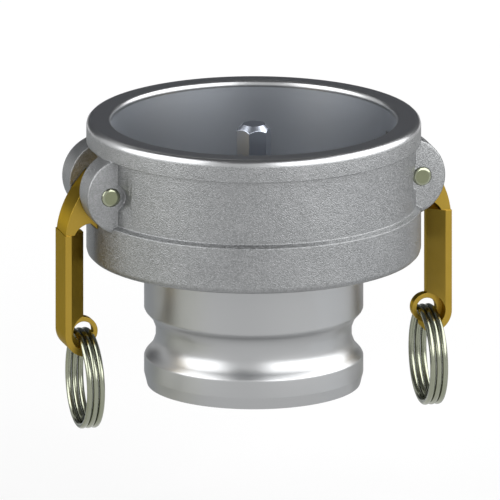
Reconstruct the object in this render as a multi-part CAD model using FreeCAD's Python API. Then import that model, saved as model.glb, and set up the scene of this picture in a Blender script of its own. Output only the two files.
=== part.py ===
import FreeCAD
import Part
import math
import os

# Probe coupler: a female cam-lever socket on top, a grooved male adapter below,
# and a fixed hex probe standing in the socket. Millimetres, +Z up, origin at the
# centre of the adapter's end face, the two cam arms on +X and -X.

# Adapter, the grooved male end
ADAPTER_R = 45.83
NOSE_STEP = 1.23
NOSE_TAPER = 5.0
GROOVE_Z = 22.4
GROOVE_ARC_R = 12.2
GROOVE_DEPTH = 5.03
GROOVE_EDGE = 1.2
THROAT_WALL = 4.3

# Socket body, from the bore outwards and from the gasket seat up and down
BORE_R = 59.7
SOCKET_WALL = 8.1
SEAT_Z = 62.0
SEAT_WALL = 6.0
BAND_H = 20.0
BAND_PROUD = 2.2
BAND_ROUND = 2.9
SHOULDER_RISE = 1.3
NECK_FILLET = 5.0
RIM_ABOVE_PIN = 24.65
RIM_PROUD = 2.2
RIM_ROUND = 2.75
LIP_H = 9.6
ENTRY_W = 1.3
ENTRY_H = 2.2
CONE_H = 12.0
SEAT_LAND = 2.3

# Gasket in its groove
GASKET_T = 6.35
GASKET_W = 11.1
GASKET_GROOVE = 2.2
GASKET_SIDE_GAP = 0.1
GASKET_TOP_GAP = 0.45

# Ears, the pin lugs that stand in pairs on the barrel, and the slot between them
EAR_R = 17.0
EAR_INSET = 7.3
EAR_GAP = 16.0
EAR_T = 12.8
EAR_EDGE = 0.7
SLOT_BELOW_PIN = 16.95
SLOT_ABOVE_PIN = 12.95
SLOT_START = 5.0
SPOT_FACE_R = 6.3

# Pivot pins, pressed into the ears
PIN_ABOVE_GASKET = 21.2
PIN_INSET = 0.5
PIN_R = 3.97
PIN_RECESS = 0.1
PIN_PRESS_GAP = 0.02
PIN_RUN_GAP = 0.08

# Cam arm, the handle
ARM_GAP = 4.24
ARM_DEPTH = 9.36
ARM_W = 16.1
STRIP_T = 2.7
RIDGE_W = 4.1
HANDLE_DROP = 18.95
EYE_DROP = 62.15
EYE_R = 6.2
EYE_HOLE_R = 4.3
END_SLOT_R = 6.6
WRAP_END = 1.0

# Cam arm, the head
HEAD_SETBACK = 0.3
HEAD_SIDE_GAP = 0.7
HEAD_SINK = 1.0
HUB_R = 6.38
LOBE_R = 7.6
LOBE_INTO_BORE = 4.8
LOBE_DROP = 2.0
LOBE_END = 285.0
CROWN_ANGLE = 39.0
BROW_OUT = 6.7
BROW_UP = 1.85
BACK_BULGE = 1.74
HEEL_GAP = 0.3
HEEL_IN = 0.1
HEEL_OUT = 2.3
ARCH_OUT = 5.1
ARCH_UP = 2.5
ARCH_BULGE = 1.2
ARCH_FOOT = 4.3

# Pull ring, a close coil of round wire
RING_OUT_R = 21.2
WIRE_R = 1.25
WIRE_SIDES = 8
RING_PITCH = 2.62
RING_TURNS = 3
RING_STEPS = 24
RING_SAG = 0.6

# Probe and the bridge that carries it
HUB_BELOW_SEAT = 18.0
HUB_H = 18.0
BRIDGE_HUB_R = 11.0
BRIDGE_W = 9.0
BRIDGE_H = 13.0
BRIDGE_ROOT = 2.5
PROBE_AF = 12.7
PROBE_BELOW_RIM = 2.5
PROBE_TIP_R = 4.6
STUD_R = 4.76
STUD_SHOWN = 3.5
STUD_GAP = 0.15
STUD_CHAMFER = 0.8
WASHER_R = 8.2
WASHER_T = 2.2
WASHER_SLIT = 1.2
NUT_AF = 14.3
NUT_H = 8.2
NUT_BEVEL = 30.0

# Places that follow from the sizes above
THROAT_R = ADAPTER_R - GROOVE_DEPTH - THROAT_WALL
BARREL_R = BORE_R + SOCKET_WALL
BAND_R = BARREL_R + BAND_PROUD
RIM_R = BARREL_R + RIM_PROUD
BAND_Z0 = SEAT_Z - SEAT_WALL
BAND_Z1 = BAND_Z0 + BAND_H
GASKET_OUT_R = BORE_R + GASKET_GROOVE
GASKET_IN_R = GASKET_OUT_R - GASKET_W
PIN_X = BARREL_R - PIN_INSET
PIN_Z = SEAT_Z + GASKET_T + PIN_ABOVE_GASKET
TOTAL_H = PIN_Z + RIM_ABOVE_PIN
EAR_X = BARREL_R - EAR_INSET
EAR_OUT_Y = EAR_GAP / 2 + EAR_T
SLOT_Z0 = PIN_Z - SLOT_BELOW_PIN
SLOT_Z1 = PIN_Z + SLOT_ABOVE_PIN
RIDGE_X = BAND_R + ARM_GAP
ARM_OUT_X = RIDGE_X + ARM_DEPTH
HANDLE_TOP = PIN_Z - HANDLE_DROP
EYE_Z = PIN_Z - EYE_DROP
HUB_TOP = SEAT_Z - HUB_BELOW_SEAT
HUB_BOTTOM = HUB_TOP - HUB_H
PROBE_TOP = TOTAL_H - PROBE_BELOW_RIM
NUT_TOP = HUB_BOTTOM - WASHER_T
STUD_END = NUT_TOP - NUT_H - STUD_SHOWN

UP = FreeCAD.Vector(0, 0, 1)
ALONG_X = FreeCAD.Vector(1, 0, 0)
ALONG_Y = FreeCAD.Vector(0, 1, 0)
ORIGIN = FreeCAD.Vector(0, 0, 0)
FULL_TURN = 360.0
SAME_PLACE = 1e-6


def vec(x, y, z):
    return FreeCAD.Vector(x, y, z)


def in_xz(point):
    return vec(point[0], 0, point[1])


def on_circle(centre, radius, degrees):
    angle = math.radians(degrees)
    return (centre[0] + radius * math.cos(angle), centre[1] + radius * math.sin(angle))


def bend(centre, radius, start, end, chords):
    """Steps round part of a circle, as short chords."""
    turn = (end - start) / chords
    return [[on_circle(centre, radius, start + turn * i)] for i in range(chords + 1)]


def bulged(start, end, height):
    """Middle of an arc that stands off its chord, to the right of the way to its end."""
    length = math.dist(start, end)
    along_x = (end[0] - start[0]) / length
    along_z = (end[1] - start[1]) / length
    middle_x = (start[0] + end[0]) / 2 + along_z * height
    middle_z = (start[1] + end[1]) / 2 - along_x * height
    return (middle_x, middle_z)


def outline(start, steps):
    """Closed wire in the XZ plane. A step is an end point, or a mid point and an end point."""
    edges = []
    here = start
    for step in steps + [[start]]:
        end = step[-1]
        if len(step) == 2:
            edges.append(Part.Arc(in_xz(here), in_xz(step[0]), in_xz(end)).toShape())
        elif math.dist(here, end) > SAME_PLACE:
            edges.append(Part.makeLine(in_xz(here), in_xz(end)))
        here = end
    return Part.Wire(edges)


def turned(start, steps):
    return Part.Face(outline(start, steps)).revolve(ORIGIN, UP, FULL_TURN)


def slab(start, steps, width):
    """The outline made solid across Y, centred on Y = 0."""
    face = Part.Face(outline(start, steps))
    face.translate(vec(0, -width / 2, 0))
    return face.extrude(vec(0, width, 0))


def cross_rod(radius, x, z, y0, y1):
    return Part.makeCylinder(radius, y1 - y0, vec(x, y0, z), ALONG_Y)


def box(x0, x1, y0, y1, z0, z1):
    return Part.makeBox(x1 - x0, y1 - y0, z1 - z0, vec(x0, y0, z0))


def hexagon(across_flats, z0, z1):
    """Hex bar with two flats square to Y."""
    corner = across_flats / math.sqrt(3)
    points = [vec(*on_circle((0, 0), corner, 60 * i), z0) for i in range(7)]
    return Part.Face(Part.makePolygon(points)).extrude(vec(0, 0, z1 - z0))


def rims(shape):
    """The circular edges of a shape."""
    return [edge for edge in shape.Edges if hasattr(edge.Curve, "Radius")]


def to_side(shape, side):
    """The +X arm's shape, or its mirror image on -X."""
    if side > 0:
        return shape
    return shape.mirror(ORIGIN, ALONG_X)


def groove_steps():
    """The adapter's groove, a wide arc with its two edges rounded over."""
    centre = (ADAPTER_R - GROOVE_DEPTH + GROOVE_ARC_R, GROOVE_Z)
    edge_r = ADAPTER_R - GROOVE_EDGE
    reach = GROOVE_ARC_R + GROOVE_EDGE
    half = math.sqrt(reach ** 2 - (centre[0] - edge_r) ** 2)
    lean = math.degrees(math.asin(half / reach))
    steps = bend((edge_r, GROOVE_Z - half), GROOVE_EDGE, 0, lean, 1)
    steps += bend(centre, GROOVE_ARC_R, 180 + lean, 180 - lean, 5)
    steps += bend((edge_r, GROOVE_Z + half), GROOVE_EDGE, -lean, 0, 1)
    return steps


def body_outside():
    lip_z = TOTAL_H - LIP_H
    neck = (ADAPTER_R + NECK_FILLET, BAND_Z0 - NECK_FILLET)
    foot = (BAND_R - BAND_ROUND, BAND_Z0 + BAND_ROUND)
    brow = (RIM_R - RIM_ROUND, TOTAL_H - RIM_ROUND)
    steps = [[(ADAPTER_R - NOSE_STEP, 0)], [(ADAPTER_R, NOSE_TAPER)]]
    steps += groove_steps()
    steps += bend(neck, NECK_FILLET, 180, 90, 3)
    steps += bend(foot, BAND_ROUND, -90, 0, 3)
    steps += [
        [(BAND_R, BAND_Z1)],
        [(BARREL_R, BAND_Z1 + SHOULDER_RISE)],
        [(BARREL_R, lip_z)],
        [(RIM_R, lip_z)],
    ]
    steps += bend(brow, RIM_ROUND, 0, 90, 3)
    steps += [[(0, TOTAL_H)]]
    return turned((0, 0), steps)


def socket_space():
    """All the open space inside: socket, gasket seat, cone and throat."""
    seat_r = GASKET_OUT_R + GASKET_SIDE_GAP
    seat_top = SEAT_Z + GASKET_T + GASKET_TOP_GAP
    steps = [
        [(THROAT_R, 0)],
        [(THROAT_R, SEAT_Z - CONE_H)],
        [(GASKET_IN_R - SEAT_LAND, SEAT_Z)],
        [(seat_r, SEAT_Z)],
        [(seat_r, seat_top)],
        [(BORE_R, seat_top)],
    ]
    for angle in (0, math.pi / 4, math.pi / 2):
        out = ENTRY_W * (1 - math.cos(angle))
        down = ENTRY_H * (1 - math.sin(angle))
        steps.append([(BORE_R + out, TOTAL_H - down)])
    return turned((0, 0), steps + [[(0, TOTAL_H)]])


def ear(side_x, side_y):
    """One pin lug: a thick round plate, half sunk in the barrel, its outer edge eased."""
    disc = cross_rod(EAR_R, EAR_X, PIN_Z, EAR_GAP / 2, EAR_OUT_Y)
    outer = [rim for rim in rims(disc) if rim.Curve.Center.y > EAR_OUT_Y - EAR_EDGE]
    disc = disc.makeChamfer(EAR_EDGE, outer)
    if side_y < 0:
        disc = disc.mirror(ORIGIN, ALONG_Y)
    return to_side(disc, side_x)


def slot_and_pin_hole(side):
    """The slot that the cam swings in, the pin's hole and the flats round its ends."""
    half_gap = EAR_GAP / 2
    cut = box(BORE_R - SLOT_START, ARM_OUT_X, -half_gap, half_gap, SLOT_Z0, SLOT_Z1)
    cut = cut.fuse(cross_rod(PIN_R + PIN_PRESS_GAP, PIN_X, PIN_Z, -BAND_R, BAND_R))
    for y0, y1 in ((EAR_OUT_Y, BAND_R), (-BAND_R, -EAR_OUT_Y)):
        cut = cut.fuse(cross_rod(SPOT_FACE_R, PIN_X, PIN_Z, y0, y1))
    return to_side(cut, side)


def bridge():
    """Cast bar across the throat, rounded above and below, with the hub for the probe."""
    middle = HUB_TOP - HUB_H / 2
    half_w = BRIDGE_W / 2
    z0 = middle - BRIDGE_H / 2 + half_w
    z1 = middle + BRIDGE_H / 2 - half_w
    reach = THROAT_R + BRIDGE_ROOT
    bar = box(-reach, reach, -half_w, half_w, z0, z1)
    for z in (z0, z1):
        bar = bar.fuse(Part.makeCylinder(half_w, 2 * reach, vec(-reach, 0, z), ALONG_X))
    return bar.fuse(Part.makeCylinder(BRIDGE_HUB_R, HUB_H, vec(0, 0, HUB_BOTTOM)))


def coupler_body():
    solid = body_outside()
    for side_x in (1, -1):
        for side_y in (1, -1):
            solid = solid.fuse(ear(side_x, side_y))
    solid = solid.cut(socket_space())
    for side in (1, -1):
        solid = solid.cut(slot_and_pin_hole(side))
    solid = solid.fuse(bridge())
    solid = solid.cut(Part.makeCylinder(STUD_R + STUD_GAP, HUB_H, vec(0, 0, HUB_BOTTOM)))
    return solid.removeSplitter()


def gasket():
    ring = Part.makeCylinder(GASKET_OUT_R, GASKET_T, vec(0, 0, SEAT_Z))
    return ring.cut(Part.makeCylinder(GASKET_IN_R, GASKET_T, vec(0, 0, SEAT_Z)))


def pivot_pin(side):
    """Plain steel pin, pressed in flush with the ears."""
    end = EAR_OUT_Y - PIN_RECESS
    return to_side(cross_rod(PIN_R, PIN_X, PIN_Z, -end, end), side)


def cam_head():
    """The cam: round over the pin, a lobe that reaches into the bore, a heel for a stop."""
    pin = (PIN_X, PIN_Z)
    lobe = (BORE_R - LOBE_INTO_BORE + LOBE_R, PIN_Z - LOBE_DROP)
    aim = math.degrees(math.atan2(lobe[1] - pin[1], lobe[0] - pin[0])) % FULL_TURN
    tangent = aim - math.degrees(math.acos((HUB_R - LOBE_R) / math.dist(pin, lobe)))
    start = (ARM_OUT_X - HEAD_SETBACK, HANDLE_TOP)
    brow = (PIN_X + BROW_OUT, PIN_Z + BROW_UP)
    heel_z = SLOT_Z0 + HEEL_GAP
    arch = (PIN_X + ARCH_OUT, heel_z + ARCH_UP)
    foot = (ARM_OUT_X - ARCH_FOOT, HANDLE_TOP)
    steps = [
        [bulged(start, brow, BACK_BULGE), brow],
        [on_circle(pin, HUB_R, CROWN_ANGLE)],
        [on_circle(pin, HUB_R, (CROWN_ANGLE + tangent) / 2), on_circle(pin, HUB_R, tangent)],
        [on_circle(lobe, LOBE_R, tangent)],
        [on_circle(lobe, LOBE_R, (tangent + LOBE_END) / 2), on_circle(lobe, LOBE_R, LOBE_END)],
        [(PIN_X + HEEL_IN, heel_z)],
        [(PIN_X + HEEL_OUT, heel_z)],
        [arch],
        [bulged(arch, foot, -ARCH_BULGE), foot],
        [(foot[0], HANDLE_TOP - HEAD_SINK)],
        [(start[0], HANDLE_TOP - HEAD_SINK)],
    ]
    return slab(start, steps, EAR_GAP - 2 * HEAD_SIDE_GAP)


def handle():
    """House-shaped bar: a flat outer strip and two slopes to a narrow ridge."""
    half = ARM_W / 2
    ridge = RIDGE_W / 2
    strip_x = ARM_OUT_X - STRIP_T
    corners = [(ARM_OUT_X, -half), (ARM_OUT_X, half), (strip_x, half), (RIDGE_X, ridge)]
    corners += [(RIDGE_X, -ridge), (strip_x, -half), (ARM_OUT_X, -half)]
    bottom = EYE_Z - ARM_DEPTH
    section = Part.Face(Part.makePolygon([vec(x, y, bottom) for x, y in corners]))
    bar = section.extrude(vec(0, 0, HANDLE_TOP - bottom))
    wrap = cross_rod(ARM_DEPTH, RIDGE_X, EYE_Z, -half, half)
    wrap = wrap.common(box(RIDGE_X - WRAP_END, ARM_OUT_X, -half, half, bottom, EYE_Z))
    above = box(RIDGE_X, ARM_OUT_X, -half, half, EYE_Z, HANDLE_TOP)
    return bar.common(above).fuse(wrap)


def cam_arm(side):
    half = ARM_W / 2
    ridge = RIDGE_W / 2
    arm = handle().fuse(cam_head())
    for y0, y1 in ((ridge, half), (-half, -ridge)):
        arm = arm.cut(cross_rod(END_SLOT_R, RIDGE_X, EYE_Z, y0, y1))
    arm = arm.fuse(cross_rod(EYE_R, RIDGE_X, EYE_Z, -ridge, ridge))
    arm = arm.cut(cross_rod(EYE_HOLE_R, RIDGE_X, EYE_Z, -half, half))
    arm = arm.cut(cross_rod(PIN_R + PIN_RUN_GAP, PIN_X, PIN_Z, -half, half))
    return to_side(arm.removeSplitter(), side)


def wire_section(turn):
    """The wire's outline, this many turns from the coil's end."""
    coil_r = RING_OUT_R - WIRE_R
    corner = WIRE_R / math.cos(math.pi / WIRE_SIDES)
    angle = 2 * math.pi * turn
    points = []
    for i in range(WIRE_SIDES + 1):
        out, along = on_circle((coil_r, RING_PITCH * turn), corner, FULL_TURN * (i + 0.5) / WIRE_SIDES)
        points.append(vec(along, out * math.cos(angle), out * math.sin(angle)))
    return Part.makePolygon(points)


def pull_ring(side):
    """Close turns of wire, threaded through the eye, both ends at the back."""
    count = RING_STEPS * RING_TURNS
    coil = Part.makeLoft([wire_section(i / RING_STEPS) for i in range(count + 1)], True, True)
    middle_top = RING_PITCH * (1 / 4 + (RING_TURNS - 1) / 2)
    coil_z = EYE_Z - RING_SAG - (RING_OUT_R - WIRE_R)
    coil.translate(vec(side * RIDGE_X - middle_top, 0, coil_z))
    return coil


def probe():
    """Hex bar with a turned tip and a turned stud below, held by a nut under the hub."""
    corner = PROBE_AF / math.sqrt(3)
    tip_h = corner - PROBE_TIP_R
    tip = [
        [(corner, HUB_TOP)],
        [(corner, PROBE_TOP - tip_h)],
        [(PROBE_TIP_R, PROBE_TOP)],
        [(0, PROBE_TOP)],
    ]
    shank = [
        [(STUD_R - STUD_CHAMFER, STUD_END)],
        [(STUD_R, STUD_END + STUD_CHAMFER)],
        [(STUD_R, HUB_TOP)],
        [(0, HUB_TOP)],
    ]
    bar = hexagon(PROBE_AF, HUB_TOP, PROBE_TOP).common(turned((0, HUB_TOP), tip))
    return bar.fuse(turned((0, STUD_END), shank))


def lock_washer():
    """Spring washer with its slit."""
    ring = Part.makeCylinder(WASHER_R, WASHER_T, vec(0, 0, NUT_TOP))
    ring = ring.cut(Part.makeCylinder(STUD_R + STUD_GAP, WASHER_T, vec(0, 0, NUT_TOP)))
    half = WASHER_SLIT / 2
    return ring.cut(box(0, WASHER_R, -half, half, NUT_TOP, HUB_BOTTOM))


def probe_nut():
    """Hex nut, its corners turned down at the lower end."""
    bottom = NUT_TOP - NUT_H
    flat = NUT_AF / 2
    corner = NUT_AF / math.sqrt(3)
    rise = (corner - flat) * math.tan(math.radians(NUT_BEVEL))
    steps = [
        [(flat, bottom)],
        [(corner, bottom + rise)],
        [(corner, NUT_TOP)],
        [(0, NUT_TOP)],
    ]
    nut = hexagon(NUT_AF, bottom, NUT_TOP).common(turned((0, bottom), steps))
    return nut.cut(Part.makeCylinder(STUD_R + STUD_GAP, NUT_H, vec(0, 0, bottom)))


def main():
    os.makedirs("parts", exist_ok=True)
    nodes = {
        "coupler_body": coupler_body(),
        "socket_gasket": gasket(),
        "probe": probe(),
        "probe_lock_washer": lock_washer(),
        "probe_nut": probe_nut(),
    }
    for name, side in (("right", 1), ("left", -1)):
        nodes["cam_arm_" + name] = cam_arm(side)
        nodes["pivot_pin_" + name] = pivot_pin(side)
        nodes["pull_ring_" + name] = pull_ring(side)
    for name, shape in nodes.items():
        shape.exportStep("parts/" + name + ".step")
        solids = len(shape.Solids)
        print(name, "solids", solids, "valid", shape.isValid(), "volume", round(shape.Volume, 1))


main()
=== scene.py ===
# %% [markdown]
# # A probe coupler, dressed
# This lesson dresses a cam-lever hose coupler: a cast aluminium body, two brass
# levers on steel pins, wire pull rings, and a hex probe standing in the socket.
# The construction comes in as a fixed frame, in metres. We give every piece its
# finish, and we remake the pieces whose looks need more than the frame holds.

# %% Load the frame
import bmesh
import bpy
import math
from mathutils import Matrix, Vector


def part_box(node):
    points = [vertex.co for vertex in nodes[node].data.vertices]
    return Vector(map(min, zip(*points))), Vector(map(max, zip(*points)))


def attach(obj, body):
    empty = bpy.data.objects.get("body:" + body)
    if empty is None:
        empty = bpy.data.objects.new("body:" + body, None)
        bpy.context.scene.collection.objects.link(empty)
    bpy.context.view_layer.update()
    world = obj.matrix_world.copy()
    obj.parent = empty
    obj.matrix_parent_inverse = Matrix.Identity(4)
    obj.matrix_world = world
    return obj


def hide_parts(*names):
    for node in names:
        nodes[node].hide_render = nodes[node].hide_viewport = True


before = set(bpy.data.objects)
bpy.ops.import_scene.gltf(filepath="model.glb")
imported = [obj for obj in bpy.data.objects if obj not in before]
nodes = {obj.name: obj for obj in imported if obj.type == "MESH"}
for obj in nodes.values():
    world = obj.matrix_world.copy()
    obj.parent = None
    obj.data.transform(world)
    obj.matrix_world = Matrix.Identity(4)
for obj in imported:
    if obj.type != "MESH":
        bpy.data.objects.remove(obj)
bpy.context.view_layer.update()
scene = bpy.context.scene
MM = 0.001
UP = Vector((0.0, 0.0, 1.0))

# %% [markdown]
# ## The camera
# The photograph has no perspective: verticals stay vertical and equal widths stay
# equal at every height. So the camera is orthographic. It looks down by 15 degrees,
# and the coupler is turned by 15 degrees, which puts the left lever nearer. The
# picture is 500 pixels wide, and the coupler's axis stands a little right of its
# middle, so the camera moves sideways by the difference.

# %% Place the camera
CAMERA_AZIMUTH = math.radians(-15.0)
CAMERA_ELEVATION = math.radians(15.0)
CAMERA_DISTANCE = 1.2
CAMERA_SIGHT = 20.0
IMAGE_PIXELS = 500
PIXEL_SIZE = 0.41792 * MM
AXIS_PIXEL_X = 253.7
CENTRE_HEIGHT = 56.98 * MM


def add_object(name, data):
    """Puts a mesh, a lamp or a camera in the scene as an object."""
    thing = bpy.data.objects.new(name, data)
    scene.collection.objects.link(thing)
    return thing


def direction(azimuth):
    """A level direction, in degrees from the camera's own, positive to the right."""
    turn = math.radians(azimuth) + CAMERA_AZIMUTH
    return Vector((math.sin(turn), -math.cos(turn), 0.0))


camera_data = bpy.data.cameras.new("studio_camera")
camera_data.type = "ORTHO"
camera_data.ortho_scale = IMAGE_PIXELS * PIXEL_SIZE
camera_data.clip_end = CAMERA_SIGHT
camera = add_object("studio_camera", camera_data)
to_camera = direction(0.0) * math.cos(CAMERA_ELEVATION) + UP * math.sin(CAMERA_ELEVATION)
side_shift = (IMAGE_PIXELS / 2 - AXIS_PIXEL_X) * PIXEL_SIZE
target = UP * CENTRE_HEIGHT + direction(90.0) * side_shift
camera.location = target + to_camera * CAMERA_DISTANCE
camera.rotation_euler = (-to_camera).to_track_quat("-Z", "Y").to_euler()
scene.camera = camera
print("camera: %.1f mm across the picture" % (camera_data.ortho_scale / MM))

# %% [markdown]
# ## Cast and turned aluminium
# The body is sand cast, then turned where it seals or slides: the adapter, the rim,
# the bore and the seat. It could be two materials on two sets of faces, but the
# frame's faces don't end everywhere where the lathe stopped. So one material holds
# both skins. A material is a tree of nodes that ends in a shader, and we grow this
# one step by step.

# %% Start the body's material
def new_material(name, metallic=0.0):
    """A material whose tree holds only its shader."""
    material = bpy.data.materials.new(name)
    material.use_nodes = True
    tree = material.node_tree
    tree.nodes.clear()
    output = tree.nodes.new("ShaderNodeOutputMaterial")
    shader = tree.nodes.new("ShaderNodeBsdfPrincipled")
    shader.inputs["Metallic"].default_value = metallic
    tree.links.new(shader.outputs["BSDF"], output.inputs["Surface"])
    return material, tree, shader


aluminium, body_tree, body_shader = new_material("cast_and_turned_aluminium", metallic=1.0)
print("material:", aluminium.name)

# %% [markdown]
# ## Where a point lies
# A pattern has to know where on the metal it is. Object coordinates tell: in this
# frame they are metres from the adapter's end face, so a pattern keeps its real
# size. What the lathe did depends on the height and on the distance to the axis,
# and the axis is Z. So the tree measures x and y and takes the root of the sum of
# their squares.

# %% Measure the distance to the axis
def feed(tree, value, target):
    """Links an output to an input, or writes a colour or a plain value into it."""
    if isinstance(value, bpy.types.NodeSocket):
        tree.links.new(value, target)
    elif isinstance(value, tuple):
        target.default_value = value + (1.0,)
    else:
        target.default_value = value


def maths(tree, operation, *values, clamp=False):
    node = tree.nodes.new("ShaderNodeMath")
    node.operation = operation
    node.use_clamp = clamp
    for value, target in zip(values, node.inputs):
        feed(tree, value, target)
    return node.outputs[0]


def place_on_piece(tree):
    """Object coordinates as one vector, and as x, y and z."""
    coords = tree.nodes.new("ShaderNodeTexCoord").outputs["Object"]
    split = tree.nodes.new("ShaderNodeSeparateXYZ")
    tree.links.new(coords, split.inputs[0])
    return coords, *split.outputs


def distance(tree, a, b):
    """How far a point is from an axis, from its two steps away from it."""
    square = maths(tree, "ADD", maths(tree, "MULTIPLY", a, a), maths(tree, "MULTIPLY", b, b))
    return maths(tree, "SQRT", square)


body_coords, body_x, body_y, body_z = place_on_piece(body_tree)
body_radius = distance(body_tree, body_x, body_y)
print("%s: %d nodes so far" % (aluminium.name, len(body_tree.nodes)))

# %% [markdown]
# ## Where the lathe went
# A mask is a number that is 1 where a finish shows and 0 elsewhere. Comparing the
# height or the distance with a limit gives one, and a short ramp instead of a jump
# keeps its border soft. Multiplying two masks keeps what both hold, and the greater
# of two masks joins them. The neck lies between the adapter and the cast barrel.

# %% Mask the turned places
BORE_RADIUS = 60.9 * MM
RIM_HEIGHT = 111.6 * MM
NECK_HEIGHT = 52.5 * MM
SOFT_STEP = 1.0 * MM
CRISP_STEP = 0.2 * MM


def above(tree, value, limit, softness):
    """0 below a limit and 1 above it, with a soft step."""
    shifted = maths(tree, "SUBTRACT", value, limit - softness / 2)
    return maths(tree, "DIVIDE", shifted, softness, clamp=True)


def below(tree, value, limit, softness):
    return maths(tree, "SUBTRACT", 1.0, above(tree, value, limit, softness))


inside = below(body_tree, body_radius, BORE_RADIUS, CRISP_STEP)
on_rim = above(body_tree, body_z, RIM_HEIGHT, SOFT_STEP)
on_adapter = below(body_tree, body_z, NECK_HEIGHT, SOFT_STEP)
under_rim = below(body_tree, body_z, RIM_HEIGHT, CRISP_STEP)
over_neck = above(body_tree, body_z, NECK_HEIGHT, SOFT_STEP)
between = maths(body_tree, "MULTIPLY", under_rim, over_neck)
in_bore = maths(body_tree, "MULTIPLY", inside, between)
outside = maths(body_tree, "MAXIMUM", on_rim, on_adapter)
turned = maths(body_tree, "MAXIMUM", inside, outside)
print("turned below %.1f mm and above %.1f mm" % (NECK_HEIGHT / MM, RIM_HEIGHT / MM))

# %% [markdown]
# ## A pattern for each skin
# Sand leaves a field of tiny grains. Plain noise looks like cloud, so the grains
# are the cells of a Voronoi pattern, each with its own random grey, and a slow
# noise adds patches. A lathe leaves fine rings: its noise reads only the distance
# and the height, so it can't change on the way round.

# %% Make the grains and the lathe's rings
GRAIN_SCALE = 2000.0
SKIN_SCALE = 2300.0
SKIN_DETAIL = 1.0
PATCH_SCALE = 55.0
LATHE_SCALE = 2600.0
LATHE_DETAIL = 2.0


def noise(tree, vector, scale, detail=3.0):
    node = tree.nodes.new("ShaderNodeTexNoise")
    node.inputs["Scale"].default_value = scale
    node.inputs["Detail"].default_value = detail
    tree.links.new(vector, node.inputs["Vector"])
    return node.outputs["Fac"]


def grains(tree, vector, scale):
    """A random grey for each cell of a fine Voronoi pattern."""
    node = tree.nodes.new("ShaderNodeTexVoronoi")
    node.inputs["Scale"].default_value = scale
    tree.links.new(vector, node.inputs["Vector"])
    split = tree.nodes.new("ShaderNodeSeparateColor")
    tree.links.new(node.outputs["Color"], split.inputs[0])
    return split.outputs[0]


def joined(tree, *parts):
    """One vector from up to three numbers."""
    node = tree.nodes.new("ShaderNodeCombineXYZ")
    for value, target in zip(parts, node.inputs):
        feed(tree, value, target)
    return node.outputs[0]


grain = grains(body_tree, body_coords, GRAIN_SCALE)
skin = noise(body_tree, body_coords, SKIN_SCALE, SKIN_DETAIL)
patches = noise(body_tree, body_coords, PATCH_SCALE)
lathe = noise(body_tree, joined(body_tree, body_radius, body_z), LATHE_SCALE, LATHE_DETAIL)
print("%s: %d nodes so far" % (aluminium.name, len(body_tree.nodes)))

# %% [markdown]
# ## Colour
# The grains and the patches together pick a grey between a dark and a light one.
# The turned metal is a little lighter and even. In the bore it is painted a little
# lighter and bluer: a painted reflection of the bore's own walls. The masks choose
# between these colours.

# %% Colour the two skins
CAST_LIGHT = (0.31, 0.315, 0.32)
CAST_DARK = (0.175, 0.18, 0.182)
TURNED_COLOUR = (0.36, 0.365, 0.37)
# Painted reflection: the bore is painted lighter and bluer than the turned metal.
BORE_PAINTED_REFLECTION = (0.36, 0.38, 0.41)
GRAIN_SHARE = 0.6
MIX_SOCKETS = {"FLOAT": (2, 0), "RGBA": (6, 2)}


def blend(tree, kind, factor, a, b):
    """Mixes a into b: two numbers with kind FLOAT, or two colours with kind RGBA."""
    node = tree.nodes.new("ShaderNodeMix")
    node.data_type = kind
    first_input, output = MIX_SOCKETS[kind]
    feed(tree, factor, node.inputs[0])
    feed(tree, a, node.inputs[first_input])
    feed(tree, b, node.inputs[first_input + 1])
    return node.outputs[output]


patch_part = maths(body_tree, "MULTIPLY", patches, 1.0 - GRAIN_SHARE)
cast_mix = maths(body_tree, "MULTIPLY_ADD", grain, GRAIN_SHARE, patch_part)
cast_colour = blend(body_tree, "RGBA", cast_mix, CAST_DARK, CAST_LIGHT)
# In the bore the turned colour becomes the painted reflection, lighter and bluer.
turned_and_bore_reflection = blend(body_tree, "RGBA", in_bore, TURNED_COLOUR, BORE_PAINTED_REFLECTION)
body_colour = blend(body_tree, "RGBA", turned, cast_colour, turned_and_bore_reflection)
feed(body_tree, body_colour, body_shader.inputs["Base Color"])
print("%s: %d nodes so far" % (aluminium.name, len(body_tree.nodes)))

# %% [markdown]
# ## Gloss
# Metal gets nearly all its looks from gloss. A sand-cast skin is rough, and each
# grain a little differently. The rim has the finest cut, the adapter a plainer one,
# and the bore the coarsest. The patterns run from 0 to 1, so each is spread between
# two roughness values.

# %% Set the gloss
CAST_ROUGHNESS = (0.30, 0.50)
RIM_ROUGHNESS = (0.26, 0.32)
ADAPTER_ROUGHNESS = (0.33, 0.40)
BORE_ROUGHNESS = (0.38, 0.46)


def spread(tree, value, limits):
    """A value from 0 to 1, spread between two limits."""
    low, high = limits
    return maths(tree, "MULTIPLY_ADD", value, high - low, low)


rough_cast = spread(body_tree, grain, CAST_ROUGHNESS)
rough_rim = spread(body_tree, lathe, RIM_ROUGHNESS)
rough_adapter = spread(body_tree, lathe, ADAPTER_ROUGHNESS)
rough_bore = spread(body_tree, lathe, BORE_ROUGHNESS)
rough_turned = blend(body_tree, "FLOAT", on_adapter, rough_rim, rough_adapter)
rough_turned = blend(body_tree, "FLOAT", in_bore, rough_turned, rough_bore)
body_roughness = blend(body_tree, "FLOAT", turned, rough_cast, rough_turned)
feed(body_tree, body_roughness, body_shader.inputs["Roughness"])
print("%s: %d nodes so far" % (aluminium.name, len(body_tree.nodes)))

# %% [markdown]
# ## Relief and soft edges
# The last step is relief. Modelled grains would need millions of faces, so a Bump
# node tilts the shading as if the skin had them. A Bevel node rounds the edges in
# the same way, more on the casting than where a tool cut it.

# %% Give the skins their relief
CAST_DEPTH = 0.22 * MM
LATHE_DEPTH = 0.001 * MM
CAST_EDGE = 0.7 * MM
TURNED_EDGE = 0.35 * MM
BEVEL_SAMPLES = 6


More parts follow.
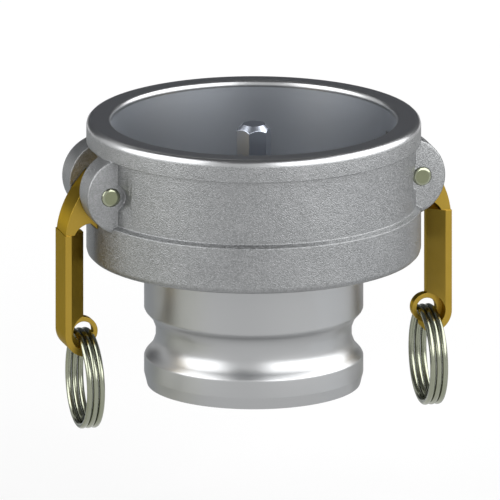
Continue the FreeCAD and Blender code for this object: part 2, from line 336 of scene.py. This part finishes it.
def surface(tree, shader, height, edge_radius):
    """Rounds the edges a little in the shading, and lays a height pattern over them."""
    edge = tree.nodes.new("ShaderNodeBevel")
    edge.samples = BEVEL_SAMPLES
    feed(tree, edge_radius, edge.inputs["Radius"])
    bump = tree.nodes.new("ShaderNodeBump")
    bump.inputs["Distance"].default_value = 1.0
    tree.links.new(height, bump.inputs["Height"])
    tree.links.new(edge.outputs["Normal"], bump.inputs["Normal"])
    tree.links.new(bump.outputs["Normal"], shader.inputs["Normal"])


cast_relief = maths(body_tree, "MULTIPLY", skin, CAST_DEPTH)
turned_relief = maths(body_tree, "MULTIPLY", lathe, LATHE_DEPTH)
body_relief = blend(body_tree, "FLOAT", turned, cast_relief, turned_relief)
body_edge = blend(body_tree, "FLOAT", turned, CAST_EDGE, TURNED_EDGE)
surface(body_tree, body_shader, body_relief, body_edge)
finishes = {"aluminium": aluminium}
print("%s: done with %d nodes" % (aluminium.name, len(body_tree.nodes)))

# %% [markdown]
# ## Brass
# The levers are cast brass, tumbled until the edges soften, so their gloss is even
# and the surface waves a little. The other plain metals differ from it in numbers
# and not in kind, so one function makes them all: a cloudy colour between a light
# and a dark one, and a noise that drives both the gloss and the relief.

# %% Make the brass
CLOUD_SCALE = 90.0
CLOUD_DETAIL = 2.0
ROUGHNESS_DRIFT = (0.85, 1.2)
METAL_EDGE = 0.3 * MM
NO_STRETCH = (1.0, 1.0, 1.0)
WHITE = (1.0, 1.0, 1.0)


def plain_metal(name, light, dark, roughness, wave_scale, wave_depth, stretch=NO_STRETCH, edge_tint=WHITE):
    """A metal whose colour, gloss and surface drift a little."""
    material, tree, shader = new_material(name, metallic=1.0)
    feed(tree, edge_tint, shader.inputs["Specular Tint"])
    coords = place_on_piece(tree)[0]
    mapping = tree.nodes.new("ShaderNodeMapping")
    mapping.inputs["Scale"].default_value = stretch
    tree.links.new(coords, mapping.inputs["Vector"])
    waves = noise(tree, mapping.outputs[0], wave_scale)
    cloud = noise(tree, coords, CLOUD_SCALE, CLOUD_DETAIL)
    limits = [roughness * drift for drift in ROUGHNESS_DRIFT]
    feed(tree, blend(tree, "RGBA", cloud, dark, light), shader.inputs["Base Color"])
    feed(tree, spread(tree, waves, limits), shader.inputs["Roughness"])
    surface(tree, shader, maths(tree, "MULTIPLY", waves, wave_depth), METAL_EDGE)
    return material


finishes["brass"] = plain_metal(
    "arm_brass",
    light=(0.37, 0.25, 0.045),
    dark=(0.31, 0.205, 0.03),
    roughness=0.3,
    wave_scale=350.0,
    wave_depth=0.012 * MM,
    edge_tint=(0.95, 0.78, 0.40),
)
print("finish:", finishes["brass"].name)

# %% [markdown]
# ## Wire, hex bar and fasteners
# The ring's wire is drawn bright, with a greenish tinge. The probe is a drawn hex
# bar whose marks run along it: its noise is stretched along Z. The nut and its
# washer are plain steel.

# %% Make the steels
ALONG_Z = (1.0, 1.0, 0.04)

finishes["wire"] = plain_metal(
    "ring_wire",
    light=(0.29, 0.30, 0.235),
    dark=(0.23, 0.245, 0.185),
    roughness=0.2,
    wave_scale=900.0,
    wave_depth=0.002 * MM,
)
finishes["probe"] = plain_metal(
    "probe_steel",
    light=(0.41, 0.44, 0.50),
    dark=(0.35, 0.38, 0.435),
    roughness=0.3,
    wave_scale=2500.0,
    wave_depth=0.004 * MM,
    stretch=ALONG_Z,
)
finishes["fastener"] = plain_metal(
    "fastener_steel",
    light=(0.42, 0.43, 0.43),
    dark=(0.36, 0.37, 0.37),
    roughness=0.28,
    wave_scale=900.0,
    wave_depth=0.004 * MM,
)
print("finishes so far:", ", ".join(sorted(finishes)))

# %% [markdown]
# ## The pins' plating
# The pins are steel with a greenish passivated zinc plating. A lighter ring is painted
# round the edge of each end: a painted highlight on the end's round. The ring follows
# the distance from the pin's own axis. Both pins lie along Y, one at each side, so the
# side is taken away with an absolute value and one material serves both.

# %% Plate the pins
PLATING_LIGHT = (0.215, 0.23, 0.15)
PLATING_DARK = (0.18, 0.195, 0.125)
# Painted highlight: the colour of the lighter ring round the edge of each pin end.
PLATING_HIGHLIGHT = (0.27, 0.285, 0.21)
PLATING_ROUGHNESS = (0.13, 0.18)
PLATING_SCALE = 700.0
PLATING_DEPTH = 0.002 * MM
PIN_AXIS_X = 67.3 * MM
PIN_AXIS_Z = 89.55 * MM
HIGHLIGHT_FROM = 2.9 * MM
HIGHLIGHT_STEP = 0.4 * MM


def pin_plating():
    material, tree, shader = new_material("pin_plating", metallic=1.0)
    coords, x, _, z = place_on_piece(tree)
    out = maths(tree, "SUBTRACT", maths(tree, "ABSOLUTE", x), PIN_AXIS_X)
    up = maths(tree, "SUBTRACT", z, PIN_AXIS_Z)
    # Painted highlight ring: lighter where the end rounds over, away from the pin's axis.
    painted_highlight = above(tree, distance(tree, out, up), HIGHLIGHT_FROM, HIGHLIGHT_STEP)
    cloud = noise(tree, coords, PLATING_SCALE)
    plating = blend(tree, "RGBA", cloud, PLATING_DARK, PLATING_LIGHT)
    feed(tree, blend(tree, "RGBA", painted_highlight, plating, PLATING_HIGHLIGHT), shader.inputs["Base Color"])
    feed(tree, spread(tree, cloud, PLATING_ROUGHNESS), shader.inputs["Roughness"])
    surface(tree, shader, maths(tree, "MULTIPLY", cloud, PLATING_DEPTH), METAL_EDGE)
    return material


finishes["pin"] = pin_plating()
print("finish:", finishes["pin"].name)

# %% [markdown]
# ## Rubber
# The gasket is moulded black rubber. Rubber is never quite black or quite even: a
# fine noise drives its grey, its gloss and a shallow unevenness together, which is
# what dust and mould marks do.

# %% Make the gasket's rubber
RUBBER_DARK = (0.012, 0.012, 0.013)
RUBBER_LIGHT = (0.03, 0.03, 0.03)
RUBBER_ROUGHNESS = (0.5, 0.7)
RUBBER_SCALE = 500.0
RUBBER_DEPTH = 0.02 * MM
RUBBER_EDGE = 0.4 * MM


def rubber():
    material, tree, shader = new_material("gasket_rubber")
    cloud = noise(tree, place_on_piece(tree)[0], RUBBER_SCALE)
    feed(tree, blend(tree, "RGBA", cloud, RUBBER_DARK, RUBBER_LIGHT), shader.inputs["Base Color"])
    feed(tree, spread(tree, cloud, RUBBER_ROUGHNESS), shader.inputs["Roughness"])
    surface(tree, shader, maths(tree, "MULTIPLY", cloud, RUBBER_DEPTH), RUBBER_EDGE)
    return material


finishes["rubber"] = rubber()
print("finish:", finishes["rubber"].name)

# %% [markdown]
# ## Dress the frame's own pieces
# A piece that is right as it comes stays, and only its material slot changes. The
# gasket, the probe, its washer and its nut are plain turned or moulded shapes.

# %% Give the plain pieces their finish
NODE_FINISH = {
    "socket_gasket": "rubber",
    "probe": "probe",
    "probe_lock_washer": "fastener",
    "probe_nut": "fastener",
}

for node_name, finish in NODE_FINISH.items():
    node_mesh = nodes[node_name].data
    node_mesh.materials.clear()
    node_mesh.materials.append(finishes[finish])
print("dressed %d nodes" % len(NODE_FINISH))

# %% [markdown]
# ## The casting
# The frame's rounds are a few short cones each, which a mirror-like metal would show
# as bands. More faces would cure that, but better shading does too, and costs
# nothing. A frame's mesh is loose triangles, and shading can't run from one loose
# triangle to the next. So we take a copy and merge it.

# %% Copy the body and merge its triangles
MERGE_DISTANCE = 0.001 * MM


def merged_copy(name, node_name):
    """A node's mesh with its loose triangles joined, as a new object."""
    work = bmesh.new()
    work.from_mesh(nodes[node_name].data)
    bmesh.ops.remove_doubles(work, verts=work.verts, dist=MERGE_DISTANCE)
    work.verts.index_update()
    points = [vert.co[:] for vert in work.verts]
    faces = [[vert.index for vert in face.verts] for face in work.faces]
    work.free()
    mesh = bpy.data.meshes.new(name)
    mesh.from_pydata(points, [], faces)
    return add_object(name, mesh)


casting = merged_copy("casting", "coupler_body")
print("casting: %d points, %d faces" % (len(casting.data.vertices), len(casting.data.polygons)))

# %% [markdown]
# ## Smooth shading
# The shading runs smoothly over every edge that turns by less than 50 degrees.
# Weighted normals keep the large faces flat and put the whole bend into the narrow
# ones. One ring stays crisp all the same: the top of the adapter's nose, where the
# tool left a line.

# %% Smooth the shading over gentle edges
SMOOTH_ANGLE = math.radians(50.0)
NOSE_TOP = 5.0 * MM


def evaluated_mesh(piece):
    """The mesh that an object's modifiers make, as a new plain mesh."""
    graph = bpy.context.evaluated_depsgraph_get()
    return bpy.data.meshes.new_from_object(piece.evaluated_get(graph), depsgraph=graph)


def apply_modifiers(piece):
    mesh = evaluated_mesh(piece)
    piece.modifiers.clear()
    piece.data = mesh


def crisp_level_ring(mesh, height):
    """Keeps the edges that lie level at this height crisp."""
    for edge in mesh.edges:
        heights = [mesh.vertices[index].co.z for index in edge.vertices]
        if all(abs(z - height) < MERGE_DISTANCE for z in heights):
            edge.use_edge_sharp = True


def smooth_shading(piece, angle, crease_height=None):
    mesh = piece.data
    mesh.polygons.foreach_set("use_smooth", [True] * len(mesh.polygons))
    mesh.set_sharp_from_angle(angle=angle)
    if crease_height is not None:
        crisp_level_ring(mesh, crease_height)
    weighted = piece.modifiers.new("weighted_normals", "WEIGHTED_NORMAL")
    weighted.mode = "FACE_AREA"
    weighted.keep_sharp = True
    apply_modifiers(piece)


smooth_shading(casting, SMOOTH_ANGLE, NOSE_TOP)
crisp_edges = [edge for edge in casting.data.edges if edge.use_edge_sharp]
print("casting: %d crisp edges" % len(crisp_edges))

# %% [markdown]
# ## One normal for each turned ring
# On a turned surface every point of one level circle leans outwards by the same
# amount. The triangles of a tessellated cone don't quite agree on it, and gloss
# shows that as faint facets. So we find the corners that lie on one circle. Corners
# beside the ears lean sideways and are left alone.

# %% Find the turned rings
SIDEWAYS_LIMIT = 0.12
RING_DIGITS = 5


def turned_rings(mesh, normals):
    """Corners by radius and height: each corner's number, rise, lean and way out."""
    rings = {}
    for face in mesh.polygons:
        for corner in face.loop_indices:
            place = mesh.vertices[mesh.loops[corner].vertex_index].co
            radius = math.hypot(place.x, place.y)
            if radius < MERGE_DISTANCE:
                continue
            outward = Vector((place.x, place.y, 0.0)) / radius
            across = outward.cross(UP)
            normal = normals[corner]
            if max(abs(normal.dot(across)), abs(face.normal.dot(across))) > SIDEWAYS_LIMIT:
                continue
            key = (round(radius, RING_DIGITS), round(place.z, RING_DIGITS))
            rings.setdefault(key, []).append((corner, normal.z, normal.dot(outward), outward))
    return rings


corner_normals = [corner.vector.copy() for corner in casting.data.corner_normals]
rings = turned_rings(casting.data, corner_normals)
print("casting: %d turned rings" % len(rings))

# %% [markdown]
# ## Share the lean
# Two surfaces can meet in one circle, such as a flat face and a cone. Their corners
# rise by different amounts, so a ring is split where the rise jumps. The corners of
# each group then share the mean of their rise and of their lean outwards.

# %% Even out the rings
LEVEL_STEP = 0.1


def level_groups(corners):
    """Splits one ring's corners into groups whose normals rise alike."""
    corners.sort(key=lambda corner: corner[1])
    groups = [[corners[0]]]
    for corner in corners[1:]:
        if corner[1] - groups[-1][-1][1] > LEVEL_STEP:
            groups.append([])
        groups[-1].append(corner)
    return groups


def share_one_normal(group, normals):
    rise = sum(corner[1] for corner in group) / len(group)
    lean = sum(corner[2] for corner in group) / len(group)
    for index, _, _, outward in group:
        normals[index] = (outward * lean + UP * rise).normalized()


ring_groups = [group for corners in rings.values() for group in level_groups(corners)]
for group in ring_groups:
    share_one_normal(group, corner_normals)
casting.data.normals_split_custom_set(corner_normals)
print("casting: %d groups of corners evened" % len(ring_groups))

# %% [markdown]
# ## Sign a piece off
# Each piece that we make stands for a node of the frame. It gets its finish, the
# node it stands for is hidden, and it rides on the body that carries that node when
# a joint moves.

# %% Sign the casting off
def finish_piece(piece, node_name, body, finish):
    piece.data.materials.clear()
    piece.data.materials.append(finishes[finish])
    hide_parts(node_name)
    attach(piece, body)
    print("%s: %d faces, rides on %s" % (piece.name, len(piece.data.polygons), body))


finish_piece(casting, "coupler_body", "body", "aluminium")

# %% [markdown]
# ## The levers
# The levers are cast and tumbled, so no edge is sharp. A Bevel modifier rounds
# edges, but on triangles it would round those inside a flat face too. So the flat
# faces of each lever are joined first. In the frame the head's foot ends a little
# below the handle's top, which leaves a small step: it is drawn flush here.

# %% Copy the levers and join their flat faces
SIDES = ("right", "left")
FLAT_ANGLE = math.radians(1.0)
FOOT_HEIGHT = 69.6 * MM
HANDLE_TOP = 70.6 * MM


def draw_foot_flush(work):
    for vert in work.verts:
        if abs(vert.co.z - FOOT_HEIGHT) < MERGE_DISTANCE:
            vert.co.z = HANDLE_TOP
    bmesh.ops.remove_doubles(work, verts=work.verts, dist=MERGE_DISTANCE)
    bmesh.ops.dissolve_degenerate(work, edges=work.edges, dist=MERGE_DISTANCE)


def join_flat_faces(mesh):
    work = bmesh.new()
    work.from_mesh(mesh)
    draw_foot_flush(work)
    bmesh.ops.dissolve_limit(work, angle_limit=FLAT_ANGLE, verts=work.verts, edges=work.edges)
    work.to_mesh(mesh)
    work.free()


levers = {side: merged_copy("lever_" + side, "cam_arm_" + side) for side in SIDES}
for lever in levers.values():
    before = len(lever.data.polygons)
    join_flat_faces(lever.data)
    print("%s: %d triangles become %d faces" % (lever.name, before, len(lever.data.polygons)))

# %% [markdown]
# ## Soft edges
# Now the bevel can follow the true edges. Where three of them meet it leaves a few
# points on top of each other, which would make flat triangles, so close points are
# joined. Every edge should still be shared by two faces, and the cell counts the
# ones that aren't.

# %% Soften the edges and sign the levers off
LEVER_EDGE = 0.35 * MM
EDGE_SEGMENTS = 2
BEVEL_ANGLE = math.radians(28.0)
LEVER_SMOOTH_ANGLE = math.radians(40.0)
CLOSE_POINTS = 0.004 * MM


def soften_edges(piece):
    bevel = piece.modifiers.new("soft_edges", "BEVEL")
    bevel.width = LEVER_EDGE
    bevel.segments = EDGE_SEGMENTS
    bevel.limit_method = "ANGLE"
    bevel.angle_limit = BEVEL_ANGLE
    apply_modifiers(piece)


def join_close_points(piece):
    work = bmesh.new()
    work.from_mesh(piece.data)
    bmesh.ops.remove_doubles(work, verts=work.verts, dist=CLOSE_POINTS)
    bmesh.ops.dissolve_degenerate(work, edges=work.edges, dist=MERGE_DISTANCE)
    open_edges = [edge for edge in work.edges if not edge.is_manifold]
    work.to_mesh(piece.data)
    work.free()
    print("%s: %d edges not shared by two faces" % (piece.name, len(open_edges)))


for side, lever in levers.items():
    soften_edges(lever)
    join_close_points(lever)
    smooth_shading(lever, LEVER_SMOOTH_ANGLE)
    finish_piece(lever, "cam_arm_" + side, "arm_" + side, "brass")

# %% [markdown]
# ## The pivot pins
# Each pin is cut from round bar and pressed into the ears, and its ends stand a little
# proud, with a wide soft round. A lathe shape is a profile spun about an axis. So the
# pin is drawn as half of its outline, with a quarter of an ellipse at each end, and
# its size and place come from the frame's own pin.

# %% Draw the profile
PIN_PROUD = 0.8 * MM
PIN_ROUND_WIDTH = 1.5 * MM
PIN_ROUND_HEIGHT = 0.8 * MM
ROUND_STEPS = 8


def centre_and_size(node_name):
    low, high = [Vector(corner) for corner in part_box(node_name)]
    return (low + high) / 2, high - low


def pin_profile(radius, half_length):
    """Points from one end's centre, over the side, to the other end's centre."""
    tip = half_length + PIN_PROUD
    quarter = [math.pi / 2 * step / ROUND_STEPS for step in range(ROUND_STEPS + 1)]
    points = [(0.0, -tip)]
    for end, angles in ((-1, reversed(quarter)), (1, quarter)):
        for angle in angles:
            out = radius - PIN_ROUND_WIDTH * (1.0 - math.cos(angle))
            along = tip - PIN_ROUND_HEIGHT * (1.0 - math.sin(angle))
            points.append((out, end * along))
    points.append((0.0, tip))
    return points


pin_shapes = {}
for side in SIDES:
    centre, size = centre_and_size("pivot_pin_" + side)
    pin_shapes[side] = (centre, pin_profile(size.x / 2, size.y / 2))
    print("pin %s: %.2f mm thick, %.1f mm long in the frame" % (side, size.x / MM, size.y / MM))

# %% [markdown]
# ## Spin the profile
# The profile goes once round the pin's axis, which lies along Y. The spin ends where
# it began and its two ends lie on the axis, so the doubled points are merged. A
# spun shape can come out inside out, so its faces are turned outwards.

# %% Spin the pins and sign them off
SPIN_STEPS = 48
FULL_TURN = 2 * math.pi
ALONG_Y = (0.0, 1.0, 0.0)


def spun_about_y(name, profile, centre):
    work = bmesh.new()
    line = [work.verts.new((centre.x + out, along, centre.z)) for out, along in profile]
    edges = [work.edges.new(pair) for pair in zip(line, line[1:])]
    bmesh.ops.spin(work, geom=line + edges, cent=centre, axis=ALONG_Y, angle=FULL_TURN, steps=SPIN_STEPS)
    bmesh.ops.remove_doubles(work, verts=work.verts, dist=MERGE_DISTANCE)
    bmesh.ops.recalc_face_normals(work, faces=work.faces)
    mesh = bpy.data.meshes.new(name)
    work.to_mesh(mesh)
    work.free()
    return add_object(name, mesh)


for side, (centre, profile) in pin_shapes.items():
    pin = spun_about_y("pin_" + side, profile, centre)
    smooth_shading(pin, SMOOTH_ANGLE)
    finish_piece(pin, "pivot_pin_" + side, "body", "pin")

# %% [markdown]
# ## The pull rings
# Each ring is a close coil of spring wire, nearly three turns, threaded through the
# eye of its lever, with both cut ends hidden behind the eye. A coil follows a rule,
# so Geometry Nodes make it. The group's inputs name its sizes, and both rings are
# grown from the same group.

# %% Start a node group with named inputs
COIL_INPUTS = {
    "Coil Radius": "Float",
    "Wire Radius": "Float",
    "Height": "Float",
    "Turns": "Float",
    "Steps": "Int",
    "Wire Sides": "Int",
    "Turned": "Float",
    "Place": "Vector",
    "Finish": "Material",
}


def new_group(name, inputs):
    """A node group with these named inputs, and one mesh as its result."""
    group = bpy.data.node_groups.new(name, "GeometryNodeTree")
    group.interface.new_socket("Mesh", in_out="OUTPUT", socket_type="NodeSocketGeometry")
    for label, kind in inputs.items():
        group.interface.new_socket(label, in_out="INPUT", socket_type="NodeSocket" + kind)
    return group


wire_coil = new_group("wire_coil", COIL_INPUTS)
given = wire_coil.nodes.new("NodeGroupInput").outputs
print("wire_coil: %d inputs" % len(COIL_INPUTS))

# %% [markdown]
# ## A wire along a spiral
# A spiral whose two radii are equal and whose height is small is a coil. A circle
# swept along it gives the round wire, and caps close the two cut ends. In the real
# ring each turn touches the next. Here the pitch leaves a gap of a tenth of a
# millimetre, so that no face lies in another.

# %% Sweep the wire
def added(group, kind, inputs):
    """Adds a node, feeds its inputs by name, and returns its first output."""
    node = group.nodes.new(kind)
    for label, value in inputs.items():
        feed(group, value, node.inputs[label])
    return node.outputs[0]


spiral = added(wire_coil, "GeometryNodeCurveSpiral", {
    "Resolution": given["Steps"],
    "Rotations": given["Turns"],
    "Start Radius": given["Coil Radius"],
    "End Radius": given["Coil Radius"],
    "Height": given["Height"],
    "Reverse": True,
})
circle = added(wire_coil, "GeometryNodeCurvePrimitiveCircle", {
    "Resolution": given["Wire Sides"],
    "Radius": given["Wire Radius"],
})
wire = added(wire_coil, "GeometryNodeCurveToMesh", {
    "Curve": spiral,
    "Profile Curve": circle,
    "Fill Caps": True,
})
print("wire_coil: %d nodes so far" % len(wire_coil.nodes))

# %% [markdown]
# ## Put the coil in place
# The spiral comes upright and stands on the ground. So it is lowered by half its
# height, tipped over until its axis lies along X, turned until its ends are where
# they belong, and moved to its place. Realize Instances and Set Material end the
# group, so that what comes out is one plain mesh with its finish on it.

# %% Move the coil and finish the group
QUARTER_TURN = math.radians(90.0)

half_down = joined(wire_coil, 0.0, 0.0, maths(wire_coil, "MULTIPLY", given["Height"], -0.5))
centred = added(wire_coil, "GeometryNodeTransform", {"Geometry": wire, "Translation": half_down})
tipped = added(wire_coil, "GeometryNodeTransform", {
    "Geometry": centred,
    "Rotation": Vector((0.0, QUARTER_TURN, 0.0)),
})
placed = added(wire_coil, "GeometryNodeTransform", {
    "Geometry": tipped,
    "Rotation": joined(wire_coil, given["Turned"]),
    "Translation": given["Place"],
})
smooth = added(wire_coil, "GeometryNodeSetShadeSmooth", {"Geometry": placed})
real = added(wire_coil, "GeometryNodeRealizeInstances", {"Geometry": smooth})
painted = added(wire_coil, "GeometryNodeSetMaterial", {"Geometry": real, "Material": given["Finish"]})
wire_coil.links.new(painted, wire_coil.nodes.new("NodeGroupOutput").inputs[0])
print("wire_coil: done with %d nodes" % len(wire_coil.nodes))

# %% [markdown]
# ## Grow the coils
# The frame's ring is the same coil with exactly three turns and coarse wire. Ours
# starts a fifth of a turn later and ends a little later too, and keeps the frame's
# pitch, so its middle moves along the axis by as much as its middle turn does. The
# group runs on an empty mesh. Its result becomes a plain mesh, and the empty one
# goes.

# %% Coil both rings and sign them off
WIRE_RADIUS = 1.25 * MM
RING_RADIUS = 19.95 * MM
RING_PITCH = 2.62 * MM
FRAME_TURNS = 3
FIRST_TURN = 0.20
LAST_TURN = 3.12
STEPS_PER_TURN = 120
WIRE_SIDES = 18
ring_turns = LAST_TURN - FIRST_TURN
middle_turn = (FIRST_TURN + LAST_TURN) / 2


def grown(name, group, values):
    """Runs a node group on an empty mesh and returns its result as a plain object."""
    seed = add_object(name + "_seed", bpy.data.meshes.new(name + "_seed"))
    modifier = seed.modifiers.new("grow", "NODES")
    modifier.node_group = group
    for item in group.interface.items_tree:
        if item.in_out == "INPUT":
            modifier[item.identifier] = values[item.name]
    mesh = evaluated_mesh(seed)
    bpy.data.objects.remove(seed)
    mesh.name = name
    return add_object(name, mesh)


for side in SIDES:
    centre, _ = centre_and_size("pull_ring_" + side)
    centre.x += (middle_turn - FRAME_TURNS / 2) * RING_PITCH
    ring = grown("ring_coil_" + side, wire_coil, {
        "Coil Radius": RING_RADIUS,
        "Wire Radius": WIRE_RADIUS,
        "Height": ring_turns * RING_PITCH,
        "Turns": ring_turns,
        "Steps": STEPS_PER_TURN,
        "Wire Sides": WIRE_SIDES,
        "Turned": QUARTER_TURN + FIRST_TURN * FULL_TURN,
        "Place": tuple(centre),
        "Finish": finishes["wire"],
    })
    finish_piece(ring, "pull_ring_" + side, "ring_" + side, "wire")

# %% [markdown]
# ## The white background
# This is a product shot on white. More light would burn the metal out, so the
# white is not made with light: where the camera or a mirror sees the world, it is
# white, and for all other rays it stays dim. The Light Path node tells the rays
# apart.

# %% Make the world white where it is seen
WORLD_STRENGTH = 0.4


def sees_white(tree):
    """1 for rays that should see the white background itself."""
    path = tree.nodes.new("ShaderNodeLightPath").outputs
    seen = maths(tree, "MAXIMUM", path["Is Camera Ray"], path["Is Glossy Ray"])
    return maths(tree, "MAXIMUM", seen, path["Is Transmission Ray"])


scene.view_settings.view_transform = "Standard"
world = bpy.data.worlds.new("studio_world")
scene.world = world
world.use_nodes = True
world_tree = world.node_tree
backdrop = world_tree.nodes["Background"]
feed(world_tree, WHITE, backdrop.inputs["Color"])
world_light = blend(world_tree, "FLOAT", sees_white(world_tree), WORLD_STRENGTH, 1.0)
feed(world_tree, world_light, backdrop.inputs["Strength"])
print("world: strength %.1f for the light it gives" % WORLD_STRENGTH)

# %% [markdown]
# ## The floor
# The floor is the pale sheet that the coupler's shadow falls on. It glows by itself
# for the same rays as the world does, and a little less near the coupler, where the
# lamps brighten it too. Everything that stands about the coupler is a flat sheet
# with a matt colour, so two short functions make them.

# %% Lay the floor
FLOOR_HEIGHT = -60.0 * MM
FLOOR_REACH = 6.0
FLOOR_COLOUR = (0.18, 0.18, 0.18)
FLOOR_GLOW = (0.78, 0.92)
GLOW_STEP_AT = 0.6
GLOW_STEP_WIDTH = 0.6
CORNERS = ((-1, -1), (1, -1), (1, 1), (-1, 1))


def stage_sheet(name, corners, material):
    """A flat sheet that belongs to the studio and not to the coupler."""
    mesh = bpy.data.meshes.new(name)
    mesh.from_pydata([tuple(corner) for corner in corners], [], [tuple(range(len(corners)))])
    mesh.materials.append(material)
    sheet = add_object(name, mesh)
    return sheet


def matt(name, colour):
    """A colour with no gloss at all."""
    material, tree, shader = new_material(name)
    feed(tree, colour, shader.inputs["Base Color"])
    shader.inputs["Roughness"].default_value = 1.0
    shader.inputs["Specular IOR Level"].default_value = 0.0
    return material, tree, shader


def floor_material():
    material, tree, shader = matt("pale_floor", FLOOR_COLOUR)
    feed(tree, WHITE, shader.inputs["Emission Color"])
    _, x, y, _ = place_on_piece(tree)
    far = above(tree, distance(tree, x, y), GLOW_STEP_AT, GLOW_STEP_WIDTH)
    glow = maths(tree, "MULTIPLY", sees_white(tree), spread(tree, far, FLOOR_GLOW))
    feed(tree, glow, shader.inputs["Emission Strength"])
    return material


floor_corners = [(x * FLOOR_REACH, y * FLOOR_REACH, FLOOR_HEIGHT) for x, y in CORNERS]
stage_sheet("studio_floor", floor_corners, floor_material())
print("floor: %.0f m across, at %.0f mm" % (2 * FLOOR_REACH, FLOOR_HEIGHT / MM))

# %% [markdown]
# ## Boards on the floor
# Polished metal has the colours of what stands round it. The adapter's upright
# walls mirror the floor, so boards lie there, olive and blue at the left and paler
# ones at the right. A wall that faces some way off the camera mirrors a direction
# twice as far off, and that is how each board's place was found. The camera doesn't
# see the boards, and they throw no light or shadow.

# %% Lay the boards
BOARD_LIFT = 1.0 * MM
BOARD_NEAR = 0.12
BOARD_FAR = 1.0
FLOOR_BOARDS = {
    "board_olive": (-118.0, -54.0, (0.74, 0.74, 0.67)),
    "board_blue": (-178.0, -118.0, (0.42, 0.44, 0.46)),
    "board_white": (66.0, 108.0, (0.76, 0.77, 0.78)),
    "board_grey": (122.0, 178.0, (0.42, 0.42, 0.42)),
}


def floor_board(name, azimuth_from, azimuth_to, colour):
    """A board that fills these directions, seen from the coupler."""
    base = UP * (FLOOR_HEIGHT + BOARD_LIFT)
    start, end = direction(azimuth_from), direction(azimuth_to)
    corners = [start * BOARD_NEAR, start * BOARD_FAR, end * BOARD_FAR, end * BOARD_NEAR]
    board = stage_sheet(name, [corner + base for corner in corners], matt(name, colour)[0])
    board.visible_camera = False
    board.visible_diffuse = False
    board.visible_shadow = False


for name, (azimuth_from, azimuth_to, colour) in FLOOR_BOARDS.items():
    floor_board(name, azimuth_from, azimuth_to, colour)
print("boards:", ", ".join(FLOOR_BOARDS))

# %% [markdown]
# ## Dark cards
# A room has darker places too, and without them metal looks like chalk. From this
# camera a flat top mirrors what stands behind the coupler, and a round shoulder that
# leans towards the camera mirrors what hangs overhead. A dark card in each place
# gives them their grey.

# %% Stand one card behind and hang one above
BEHIND_AZIMUTH = 180.0
BEHIND_DISTANCE = 1.4
BEHIND_WIDTH = 3.4
BEHIND_LOW = 0.05
BEHIND_HIGH = 1.3
BEHIND_COLOUR = (0.13, 0.135, 0.15)
ABOVE_HEIGHT = 1.75
ABOVE_REACH = 1.5
ABOVE_COLOUR = (0.11, 0.11, 0.115)


def dark_card(name, corners, colour):
    card = stage_sheet(name, corners, matt(name, colour)[0])
    card.visible_camera = False


away = direction(BEHIND_AZIMUTH) * BEHIND_DISTANCE
across = UP.cross(direction(BEHIND_AZIMUTH)) * BEHIND_WIDTH / 2
foot, head = UP * BEHIND_LOW, UP * BEHIND_HIGH
wall = [away - across + foot, away + across + foot, away + across + head, away - across + head]
roof = [(x * ABOVE_REACH, y * ABOVE_REACH, ABOVE_HEIGHT) for x, y in reversed(CORNERS)]
dark_card("card_behind", wall, BEHIND_COLOUR)
dark_card("card_above", roof, ABOVE_COLOUR)
print("cards: %.1f m behind, %.2f m above" % (BEHIND_DISTANCE, ABOVE_HEIGHT))

# %% [markdown]
# ## Soft boxes
# Tall soft boxes stand left and right, and the gap between them is the darker line
# that runs down the middle of the polished flanks. Area lamps have an edge, as real
# soft boxes do, so the gloss shows their shape. Their power follows their area, so
# that each has the same brightness however wide it is.

# %% Light the coupler
BOX_DISTANCE = 0.8
BOX_LOW = 0.17
BOX_HIGH = 1.5
BOX_GLOW = 2.8
WATTS_PER_GLOW = 4.0
SOFT_BOXES = {
    "box_left": (-100.0, -37.0),
    "box_right": (17.0, 67.0),
    "box_far_right": (67.0, 126.0),
}


def soft_box(name, azimuth_from, azimuth_to):
    """An upright lamp that fills these directions, seen from the coupler."""
    width = 2 * BOX_DISTANCE * math.tan(math.radians(azimuth_to - azimuth_from) / 2)
    height = BOX_HIGH - BOX_LOW
    lamp_data = bpy.data.lights.new(name, "AREA")
    lamp_data.shape = "RECTANGLE"
    lamp_data.size = width
    lamp_data.size_y = height
    lamp_data.energy = WATTS_PER_GLOW * BOX_GLOW * width * height
    lamp = add_object(name, lamp_data)
    towards = direction((azimuth_from + azimuth_to) / 2)
    lamp.location = towards * BOX_DISTANCE + UP * (BOX_LOW + BOX_HIGH) / 2
    lamp.rotation_euler = towards.to_track_quat("Z", "Y").to_euler()
    lamp.visible_camera = False
    print("%s: %.2f x %.2f m, %.0f W" % (name, width, height, lamp_data.energy))


for name, (azimuth_from, azimuth_to) in SOFT_BOXES.items():
    soft_box(name, azimuth_from, azimuth_to)
